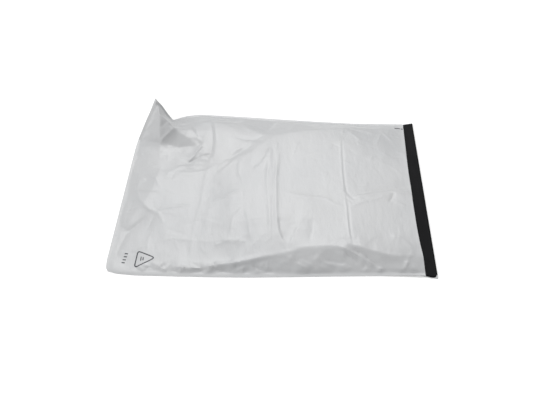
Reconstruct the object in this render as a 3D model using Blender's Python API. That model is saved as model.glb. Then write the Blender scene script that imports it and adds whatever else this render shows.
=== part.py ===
# Poly mailer: a white film bag, softly swollen, lying with its mouth open and its flap folded under.
# Metres. +X runs from the closed end to the mouth, +Y to the far seam, +Z up.

from math import cos, pi, radians, sin

import bmesh
import bpy
from mathutils import Vector
from mathutils.geometry import delaunay_2d_cdt

mm = 0.001

# The bag laid flat
bagLength = 450 * mm
bagWidth = 350 * mm
flapLength = 50 * mm
seamWidth = 5 * mm
bottomFold = 3 * mm

# Stock: thicker than real film, so that it makes a sound solid
filmWall = 0.4 * mm
adhesiveThickness = 0.2 * mm
linerThickness = 0.2 * mm
restGap = 0.3 * mm

# The flap runs on past the mouth, then turns down and back under the bag
visibleFlap = 16 * mm
foldRadius = 0.5 * mm
foldSteps = 5
mouthSlope = 45 * mm

# Glue line and liner on the flap's inner face, which faces down on the folded part
linerWidth = 26 * mm
linerSideMargin = 4 * mm
linerEdgeMargin = 1.5 * mm
adhesiveWidth = 18 * mm
adhesiveEndMargin = 5 * mm

# How the swollen bag lies
swellHeight = 18 * mm
earHeight = 41 * mm
mouthWidth = 322 * mm
mouthShift = 3.6 * mm
flapWidth = 330 * mm
flapEndWidth = 316 * mm
swellStart = 0.3
leastHollow = 0.4 * mm
longestEdge = 20 * mm
smoothingPasses = 3
smoothingShare = 0.5
creaseShare = 0.12

# Seam points as (share of length, share of width, share of ear height), from the near corner of
# the mouth round the closed end to its far corner. Only the far closed corner stands up, as an ear.
nearSeam = [(1, 0, 0), (0.86, 0, 0), (0.72, 0, 0), (0.58, 0, 0), (0.45, 0, 0), (0.33, 0, 0), (0.2, 0, 0),
            (0.1, 0, 0), (0.04, 0.006, 0), (0.012, 0.016, 0), (0.003, 0.032, 0)]
closedEnd = [(0, 0.07, 0), (0, 0.2, 0), (0, 0.34, 0), (0, 0.48, 0), (0, 0.62, 0), (0, 0.73, 0), (0.003, 0.8, 0.02)]
earSeam = [(0.013, 0.85, 0.17), (0.025, 0.894, 0.37), (0.039, 0.928, 0.61), (0.059, 0.973, 1), (0.083, 0.962, 0.7),
           (0.105, 0.944, 0.38), (0.122, 0.935, 0.14)]
farSeam = [(0.142, 0.962, 0.06), (0.17, 0.987, 0.01), (0.218, 1, 0), (0.3, 0.995, 0), (0.4, 0.99, 0),
           (0.52, 0.988, 0), (0.66, 0.99, 0), (0.8, 0.995, 0), (1, 1, 0)]

# The front panel's free edge at the mouth, as (share of length, share of width, share of swell)
mouthEdge = [(0.995, 0.08, 0.66), (0.988, 0.16, 0.83), (0.986, 0.27, 0.89), (0.986, 0.41, 0.86), (0.987, 0.477, 0.78),
             (0.986, 0.6, 0.84), (0.989, 0.72, 0.74), (0.993, 0.82, 0.5), (0.997, 0.92, 0.24)]

# Creases and ridges of the front panel, as (share of length, share of width, share of swell)
ridges = {
    "nearRidge": [(0.325, 0.04, 0.26), (0.395, 0.055, 0.42), (0.465, 0.075, 0.6), (0.563, 0.095, 0.8),
                  (0.606, 0.106, 0.98), (0.733, 0.114, 1), (0.776, 0.122, 1), (0.887, 0.08, 0.84), (0.995, 0.08, 0.66)],
    "farRidge": [(0.272, 0.95, 0.46), (0.379, 0.907, 0.56), (0.476, 0.829, 0.8), (0.514, 0.816, 0.9),
                 (0.577, 0.847, 0.9), (0.685, 0.887, 0.86), (0.813, 0.925, 0.66), (0.9, 0.935, 0.45)],
    "quarterFold": [(0.271, 0.905, 0.78), (0.288, 0.85, 0.83), (0.283, 0.76, 0.72), (0.288, 0.635, 0.5),
                    (0.286, 0.58, 0.48), (0.285, 0.52, 0.44), (0.287, 0.397, 0.46), (0.275, 0.2, 0.36), (0.265, 0.065, 0.24)],
    "halfFold": [(0.514, 0.816, 0.9), (0.515, 0.66, 0.98), (0.515, 0.466, 0.97), (0.523, 0.331, 1.03),
                 (0.533, 0.19, 0.97), (0.563, 0.095, 0.8)],
    "threeQuarterFold": [(0.745, 0.9, 0.82), (0.756, 0.797, 0.93), (0.757, 0.6, 0.95), (0.76, 0.434, 0.98),
                         (0.764, 0.3, 1), (0.768, 0.172, 1.02), (0.776, 0.122, 1)],
    "middleFold": [(0.515, 0.466, 0.97), (0.6, 0.44, 0.95), (0.68, 0.4, 0.95), (0.76, 0.434, 0.98),
                   (0.83, 0.455, 0.93), (0.91, 0.47, 0.86), (0.987, 0.477, 0.78)],
    "upperTension": [(0.476, 0.829, 0.8), (0.4, 0.735, 0.76), (0.33, 0.64, 0.62), (0.286, 0.58, 0.48)],
    "lowerTension": [(0.514, 0.816, 0.9), (0.45, 0.72, 0.86), (0.38, 0.64, 0.74), (0.312, 0.555, 0.56)],
    "tensionValley": [(0.44, 0.752, 0.74), (0.366, 0.66, 0.58)],
    "dartNearArm": [(0.563, 0.095, 0.8), (0.548, 0.2, 0.98), (0.526, 0.3, 1.05)],
    "dartFarArm": [(0.563, 0.095, 0.8), (0.6, 0.19, 1), (0.644, 0.282, 1.05)],
    "sideTuck": [(0.776, 0.122, 1), (0.83, 0.06, 0.5), (0.875, 0.03, 0.22)],
    "endDent": [(0.02, 0.13, 0.14), (0.045, 0.2, 0.1), (0.08, 0.24, 0.16)],
    "endSwell": [(0.05, 0.3, 0.26), (0.09, 0.42, 0.36), (0.11, 0.56, 0.42)],
}

# Facets below the ear, as (share of length, share of width, share of ear height, same for the back)
earFolds = {
    "spine": [(0.07, 0.94, 0.98, 0.95), (0.084, 0.88, 0.88, 0.7), (0.088, 0.82, 0.52, 0.3), (0.09, 0.763, 0.17, 0)],
    "shoulder": [(0.084, 0.88, 0.88, 0.7), (0.113, 0.86, 0.64, 0.32), (0.143, 0.834, 0.43, 0)],
    "notch": [(0.133, 0.905, 0.17, 0.03), (0.14, 0.87, 0.26, 0), (0.143, 0.834, 0.43, 0)],
    "lowerFacet": [(0.09, 0.763, 0.17, 0), (0.159, 0.741, 0.11, 0), (0.236, 0.748, 0.18, 0), (0.143, 0.834, 0.43, 0),
                   (0.09, 0.763, 0.17, 0)],
    "secondFacet": [(0.257, 0.746, 0.27, 0), (0.212, 0.642, 0.1, 0), (0.258, 0.677, 0.25, 0), (0.257, 0.746, 0.27, 0)],
}

# Loose points that hold the swell between the creases, as (share of length, share of width, share of swell)
swellPoints = [
    (0.04, 0.4, 0.18), (0.04, 0.56, 0.2), (0.045, 0.68, 0.2), (0.1, 0.66, 0.3), (0.17, 0.6, 0.42), (0.17, 0.46, 0.44),
    (0.17, 0.3, 0.36), (0.16, 0.16, 0.26), (0.09, 0.1, 0.2), (0.2, 0.07, 0.22), (0.2, 0.91, 0.5), (0.22, 0.84, 0.56),
    (0.35, 0.83, 0.74), (0.35, 0.46, 0.66), (0.34, 0.3, 0.62), (0.35, 0.15, 0.5), (0.43, 0.55, 0.88), (0.43, 0.4, 0.88),
    (0.43, 0.25, 0.86), (0.46, 0.14, 0.76), (0.64, 0.74, 0.97), (0.64, 0.58, 0.96), (0.64, 0.34, 1.02), (0.69, 0.22, 1.02),
    (0.58, 0.2, 0.9), (0.87, 0.82, 0.8), (0.87, 0.66, 0.92), (0.87, 0.34, 0.96), (0.87, 0.2, 0.94), (0.66, 0.045, 0.5),
    (0.56, 0.045, 0.36), (0.6, 0.945, 0.4), (0.72, 0.955, 0.36),
]

bagRegion, hollowRegion, flapRegion = 0, 1, 2


def eased(share):
    share = min(max(share, 0), 1)
    return share * share * (3 - 2 * share)


# Heights at the mouth: liner, glue and folded flap lie under the back panel
adhesiveUnderside = linerThickness + restGap
foldedUnderside = adhesiveUnderside + adhesiveThickness + restGap
mouthRise = foldedUnderside + 2 * foldRadius
restLength = bagLength + visibleFlap + foldRadius + filmWall / 2
mouthX = bagLength - restLength / 2
foldX = mouthX + visibleFlap
foldedEndX = foldX - (flapLength - visibleFlap - pi * foldRadius)


def widthAt(lengthShare):
    """Plan width: the swell takes in the sides towards the mouth, and the flap spreads up to its fold."""
    onFlap = (lengthShare - 1) * bagLength
    if onFlap > visibleFlap:
        pastFold = (onFlap - visibleFlap) / (flapLength - visibleFlap)
        return flapWidth + (flapEndWidth - flapWidth) * pastFold
    if onFlap > 0:
        return mouthWidth + (flapWidth - mouthWidth) * onFlap / visibleFlap
    return bagWidth + (mouthWidth - bagWidth) * eased((lengthShare - swellStart) / (1 - swellStart))


def planPoint(lengthShare, widthShare):
    shift = mouthShift * eased((lengthShare - swellStart) / (1 - swellStart))
    x = lengthShare * bagLength - restLength / 2
    return Vector((x, (widthShare - 0.5) * widthAt(lengthShare) - shift))


def riseAt(x):
    """Height of the back panel's underside: on the ground, then up over the folded flap."""
    return mouthRise * eased((x - foldedEndX + mouthSlope) / (mouthSlope - restGap))


def insetLoop(points, insets):
    """Plan points moved inwards, to the right of the direction of travel, each by its own distance."""
    moved = []
    for place, point in enumerate(points[1:-1], 1):
        before = (point - points[place - 1]).normalized()
        after = (points[place + 1] - point).normalized()
        inward = Vector((before.y + after.y, -before.x - after.x)).normalized()
        corner = max(inward.dot(Vector((after.y, -after.x))), 0.5)
        moved.append(point + inward * insets[place] / corner)
    return moved


class Plan:
    """Plan points with the heights of the front and back panels, and the lines that join them."""

    def __init__(self):
        self.points, self.heights, self.lines, self.index = [], [], [], {}

    def add(self, point, top, back=0):
        key = (round(point.x, 7), round(point.y, 7))
        back = max(back, riseAt(point.x))
        if key not in self.index:
            self.index[key] = len(self.points)
            self.points.append(point)
            self.heights.append((max(top, back + 2 * filmWall), back))
        return self.index[key]

    def addLine(self, places):
        self.lines += list(zip(places, places[1:]))


def layOut():
    """Every crease in plan, and the outlines of bag, hollow and flap, anticlockwise from above."""
    plan = Plan()
    seams = nearSeam + closedEnd + earSeam + farSeam
    seamPlan = [planPoint(along, across) for along, across, _ in seams]
    insets = [bottomFold if 0 < row - len(nearSeam) < len(closedEnd) else seamWidth for row in range(len(seams))]
    outline = [plan.add(point, 0, rise * earHeight) for point, (_, _, rise) in zip(seamPlan, seams)]
    inner = [plan.add(point, 0, rise * earHeight)
             for point, (_, _, rise) in zip(insetLoop(seamPlan, insets), seams[1:-1])]

    seamShare = seamWidth / mouthWidth
    mouthNear = plan.add(planPoint(1 - seamShare / 16, seamShare), 0)
    mouthFar = plan.add(planPoint(1 - seamShare / 16, 1 - seamShare), 0)
    rim = [plan.add(planPoint(along, across), share * swellHeight) for along, across, share in mouthEdge]
    mouth = [mouthNear] + rim + [mouthFar]

    # The flap still flat, with a line across it at each step of its fold
    bend = [visibleFlap + pi * foldRadius * step / foldSteps for step in range(foldSteps + 1)]
    flapShares = [1 + reach / bagLength for reach in bend + [flapLength]]
    flapNear = [plan.add(planPoint(share, 0), 0) for share in flapShares]
    flapFar = [plan.add(planPoint(share, 1), 0) for share in flapShares]
    plan.lines += list(zip(flapNear, flapFar))

    for line in ridges.values():
        plan.addLine([plan.add(planPoint(along, across), share * swellHeight) for along, across, share in line])
    for line in earFolds.values():
        plan.addLine([plan.add(planPoint(along, across), top * earHeight, back * earHeight)
                      for along, across, top, back in line])
    for along, across, share in swellPoints:
        plan.add(planPoint(along, across), share * swellHeight)

    bag = outline + mouth[::-1]
    hollow = inner + mouth[::-1]
    flap = [outline[0]] + mouth + [outline[-1]] + flapFar + flapNear[::-1]
    return plan, [bag[::-1], hollow[::-1], flap[::-1]]


def creasedSheet():
    """One flat-topology sheet: z holds the front panel's height, the layer back holds the back panel's."""
    plan, outlines = layOut()
    corners, edges, faces, pointOf, lineOf, regionOf = delaunay_2d_cdt(
        plan.points, plan.lines, outlines, 0, 1e-6, True)
    sheet = bmesh.new()
    back = sheet.verts.layers.float.new("back")
    for corner, sources in zip(corners, pointOf):
        top, rear = plan.heights[sources[0]]
        sheet.verts.new((corner.x, corner.y, top))[back] = rear
    sheet.verts.ensure_lookup_table()
    for face, regions in zip(faces, regionOf):
        if regions:
            sheet.faces.new([sheet.verts[corner] for corner in face]).material_index = max(regions)
    for (first, second), lines in zip(edges, lineOf):
        edge = sheet.edges.get((sheet.verts[first], sheet.verts[second]))
        if edge:
            edge.seam = bool(lines)
    for _ in range(4):
        tooLong = [edge for edge in sheet.edges if edge.calc_length() > longestEdge]
        bmesh.ops.subdivide_edges(sheet, edges=tooLong, cuts=1)
        bmesh.ops.triangulate(sheet, faces=sheet.faces[:])
    # An edge inside the hollow that runs from seam to seam gets a point, so that the hollow opens there.
    chords = [edge for edge in sheet.edges if regionsAt(edge) == {hollowRegion}
              and all(bagRegion in regionsAt(vert) for vert in edge.verts)]
    bmesh.ops.subdivide_edges(sheet, edges=chords, cuts=1)
    bmesh.ops.triangulate(sheet, faces=sheet.faces[:])
    smoothHeights(sheet, back)
    return sheet, back


def regionsAt(item):
    return {face.material_index for face in item.link_faces}


def smoothHeights(sheet, back):
    """Rounds the facets off and leaves the creases crisp; the seams and the mouth's edge stay."""
    free = [vert for vert in sheet.verts if regionsAt(vert) == {hollowRegion}]
    share = {vert: creaseShare if any(edge.seam for edge in vert.link_edges) else smoothingShare for vert in free}
    for _ in range(smoothingPasses):
        changes = []
        for vert in free:
            around = [edge.other_vert(vert) for edge in vert.link_edges]
            top = sum(other.co.z for other in around) / len(around) - vert.co.z
            rear = sum(other[back] for other in around) / len(around) - vert[back]
            changes.append((vert, share[vert] * top, share[vert] * rear))
        for vert, top, rear in changes:
            vert.co.z += top
            vert[back] += rear
    for vert in free:
        vert.co.z = max(vert.co.z, vert[back] + 2 * filmWall + leastHollow)


def foldedUnder(point):
    """A point of the flat flap after the flap is turned down and back under the bag."""
    beyond = point.x - foldX
    if beyond <= 0:
        return point
    turn = min(beyond / foldRadius, pi)
    reach = foldRadius + point.z - mouthRise - filmWall / 2
    x = foldX + reach * sin(turn) - max(beyond - pi * foldRadius, 0)
    return Vector((x, point.y, mouthRise + filmWall / 2 - foldRadius + reach * cos(turn)))


def buildFilm():
    """The sheet as a closed wall: front panel, back panel with its flap, and an open hollow between."""
    sheet, back = creasedSheet()
    film = bmesh.new()
    made = {}
    heights = {
        "underside": lambda vert: vert[back],
        "floor": lambda vert: vert[back] + filmWall,
        "ceiling": lambda vert: vert.co.z - filmWall,
        "top": lambda vert: vert.co.z,
    }

    def vertex(vert, level):
        if level == "ceiling" and regionsAt(vert) & {bagRegion}:
            level = "floor"
        if (vert, level) not in made:
            point = Vector((vert.co.x, vert.co.y, heights[level](vert)))
            made[vert, level] = film.verts.new(foldedUnder(point))
        return made[vert, level]

    def wall(corners):
        film.faces.new(corners)

    def panel(face, level, slot):
        film.faces.new([vertex(vert, level) for vert in face.verts]).material_index = slot

    for face in sheet.faces:
        panel(face, "underside", 0)
        if face.material_index == flapRegion:
            panel(face, "floor", 1)
            continue
        panel(face, "top", 0)
        if face.material_index == hollowRegion:
            panel(face, "floor", 1)
            panel(face, "ceiling", 1)

    def column(vert, top):
        onMouth = {flapRegion} < regionsAt(vert)
        levels = ["underside", "floor", "top"] if onMouth and top == "top" else ["underside", top]
        return [vertex(vert, level) for level in levels]

    for edge in sheet.edges:
        first, second = edge.verts
        regions = regionsAt(edge)
        if edge.is_boundary:
            top = "floor" if regions == {flapRegion} else "top"
            wall(column(first, top) + column(second, top)[::-1])
        elif flapRegion in regions and len(regions) > 1:
            below = "ceiling" if hollowRegion in regions else "floor"
            wall([vertex(first, below), vertex(second, below), vertex(second, "top"), vertex(first, "top")])
    bmesh.ops.recalc_face_normals(film, faces=film.faces[:])
    sheet.free()
    return film


def material(name, colour, roughness, transmission=0):
    made = bpy.data.materials.new(name)
    made.use_nodes = True
    shader = made.node_tree.nodes["Principled BSDF"]
    shader.inputs["Base Color"].default_value = (*colour, 1)
    shader.inputs["Roughness"].default_value = roughness
    shader.inputs["Metallic"].default_value = 0
    shader.inputs["Transmission Weight"].default_value = transmission
    return made


def addObject(name, mesh, materials):
    obj = bpy.data.objects.new(name, mesh)
    for one in materials:
        mesh.materials.append(one)
    bpy.context.scene.collection.objects.link(obj)
    return obj


def addFilm():
    film = buildFilm()
    mesh = bpy.data.meshes.new("mailer_film")
    film.to_mesh(mesh)
    film.free()
    mesh.shade_smooth()
    mesh.set_sharp_from_angle(angle=radians(35))
    white = material("white_film", (0.72, 0.73, 0.74), 0.38)
    black = material("black_inner_film", (0.012, 0.012, 0.014), 0.42)
    return addObject("mailer_film", mesh, [white, black])


def addStrip(name, width, length, thickness, centreX, underside, finish):
    """A flat strip that runs across the folded flap."""
    strip = bmesh.new()
    bmesh.ops.create_cube(strip, size=1)
    bmesh.ops.scale(strip, vec=(width, length, thickness), verts=strip.verts)
    mesh = bpy.data.meshes.new(name)
    strip.to_mesh(mesh)
    strip.free()
    obj = addObject(name, mesh, [finish])
    obj.location = (centreX, -mouthShift, underside + thickness / 2)
    return obj


for old in list(bpy.data.objects):
    bpy.data.objects.remove(old, do_unlink=True)

addFilm()

linerX = foldedEndX + linerEdgeMargin + linerWidth / 2
linerLength = flapEndWidth - 2 * linerSideMargin
addStrip("adhesive_strip", adhesiveWidth, linerLength - 2 * adhesiveEndMargin, adhesiveThickness, linerX,
         adhesiveUnderside, material("hot_melt_adhesive", (0.62, 0.55, 0.36), 0.25, 0.4))
addStrip("release_liner", linerWidth, linerLength, linerThickness, linerX, 0,
         material("siliconised_liner", (0.78, 0.79, 0.8), 0.3))
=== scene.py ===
import math

import bpy
import numpy as np
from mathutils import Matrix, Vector
from mathutils.bvhtree import BVHTree


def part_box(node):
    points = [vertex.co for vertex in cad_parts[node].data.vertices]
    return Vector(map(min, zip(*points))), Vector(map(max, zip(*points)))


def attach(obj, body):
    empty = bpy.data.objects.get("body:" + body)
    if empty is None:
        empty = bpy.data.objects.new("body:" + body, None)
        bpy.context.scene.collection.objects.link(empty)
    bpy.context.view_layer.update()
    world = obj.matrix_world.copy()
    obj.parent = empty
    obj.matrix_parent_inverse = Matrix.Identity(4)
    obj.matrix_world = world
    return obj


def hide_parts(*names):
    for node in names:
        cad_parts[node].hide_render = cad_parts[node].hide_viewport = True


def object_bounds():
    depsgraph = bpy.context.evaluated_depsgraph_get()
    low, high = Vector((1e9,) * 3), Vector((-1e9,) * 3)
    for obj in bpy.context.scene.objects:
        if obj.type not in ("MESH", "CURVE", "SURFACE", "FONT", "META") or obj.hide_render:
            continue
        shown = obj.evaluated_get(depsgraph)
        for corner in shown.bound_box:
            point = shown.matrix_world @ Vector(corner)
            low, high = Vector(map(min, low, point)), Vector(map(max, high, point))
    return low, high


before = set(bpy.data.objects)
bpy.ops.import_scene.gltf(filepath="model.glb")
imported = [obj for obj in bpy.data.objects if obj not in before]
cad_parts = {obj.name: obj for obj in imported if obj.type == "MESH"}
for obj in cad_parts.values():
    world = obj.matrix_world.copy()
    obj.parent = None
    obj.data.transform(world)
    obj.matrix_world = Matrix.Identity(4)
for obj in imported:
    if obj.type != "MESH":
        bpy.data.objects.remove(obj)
solidLow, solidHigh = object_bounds()
print("frame loaded")


# Noise and small helpers

noise = {
    "keys": (127.1, 311.7, 74.7),  # spread columns, rows and seeds apart
    "mix": 43758.5453,  # makes a direction that looks random out of a key
    "gain": 1.6,  # brings the noise to about -1..1
}


def smoothStep(share):
    return share * share * share * (share * (share * 6 - 15) + 10)


def gradientNoise(x, y, seed):
    # smooth 2-D noise, one feature per unit
    column, row = np.floor(x), np.floor(y)
    fx, fy = x - column, y - row

    def corner(dx, dy):
        key = (column + dx) * noise["keys"][0] + (row + dy) * noise["keys"][1] + seed * noise["keys"][2]
        angle = 2 * np.pi * np.modf(np.abs(np.sin(key) * noise["mix"]))[0]
        return np.cos(angle) * (fx - dx) + np.sin(angle) * (fy - dy)

    sx, sy = smoothStep(fx), smoothStep(fy)
    low = corner(0, 0) * (1 - sx) + corner(1, 0) * sx
    high = corner(0, 1) * (1 - sx) + corner(1, 1) * sx
    return noise["gain"] * (low * (1 - sy) + high * sy)


def eased(value, low, high):
    # from 0 at low to 1 at high, level at both ends
    share = np.clip((value - low) / (high - low), 0, 1)
    return share * share * (3 - 2 * share)


def blurred(grid, passes):
    # each point averaged with its four neighbours; the outer rows and columns stay
    for _ in range(passes):
        grid = grid.copy()
        grid[1:-1, 1:-1] = (grid[1:-1, 1:-1] * 4 + grid[:-2, 1:-1] + grid[2:, 1:-1]
                            + grid[1:-1, :-2] + grid[1:-1, 2:]) / 8
    return grid


def evenlySpaced(points, count):
    # points resampled at equal lengths along their own line
    steps = np.linalg.norm(np.diff(points, axis=0), axis=1)
    travelled = np.concatenate([[0], np.cumsum(steps)])
    places = np.linspace(0, travelled[-1], count)
    return np.stack([np.interp(places, travelled, points[:, axis]) for axis in (0, 1)], axis=1)


def rounded(points, passes):
    # a line's bends made softer; its two ends stay
    for _ in range(passes):
        points = points.copy()
        points[1:-1] = (points[:-2] + 2 * points[1:-1] + points[2:]) / 4
    return points


# Film: the whole bag with its flap, one thin closed skin, in metres where no note says otherwise

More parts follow.
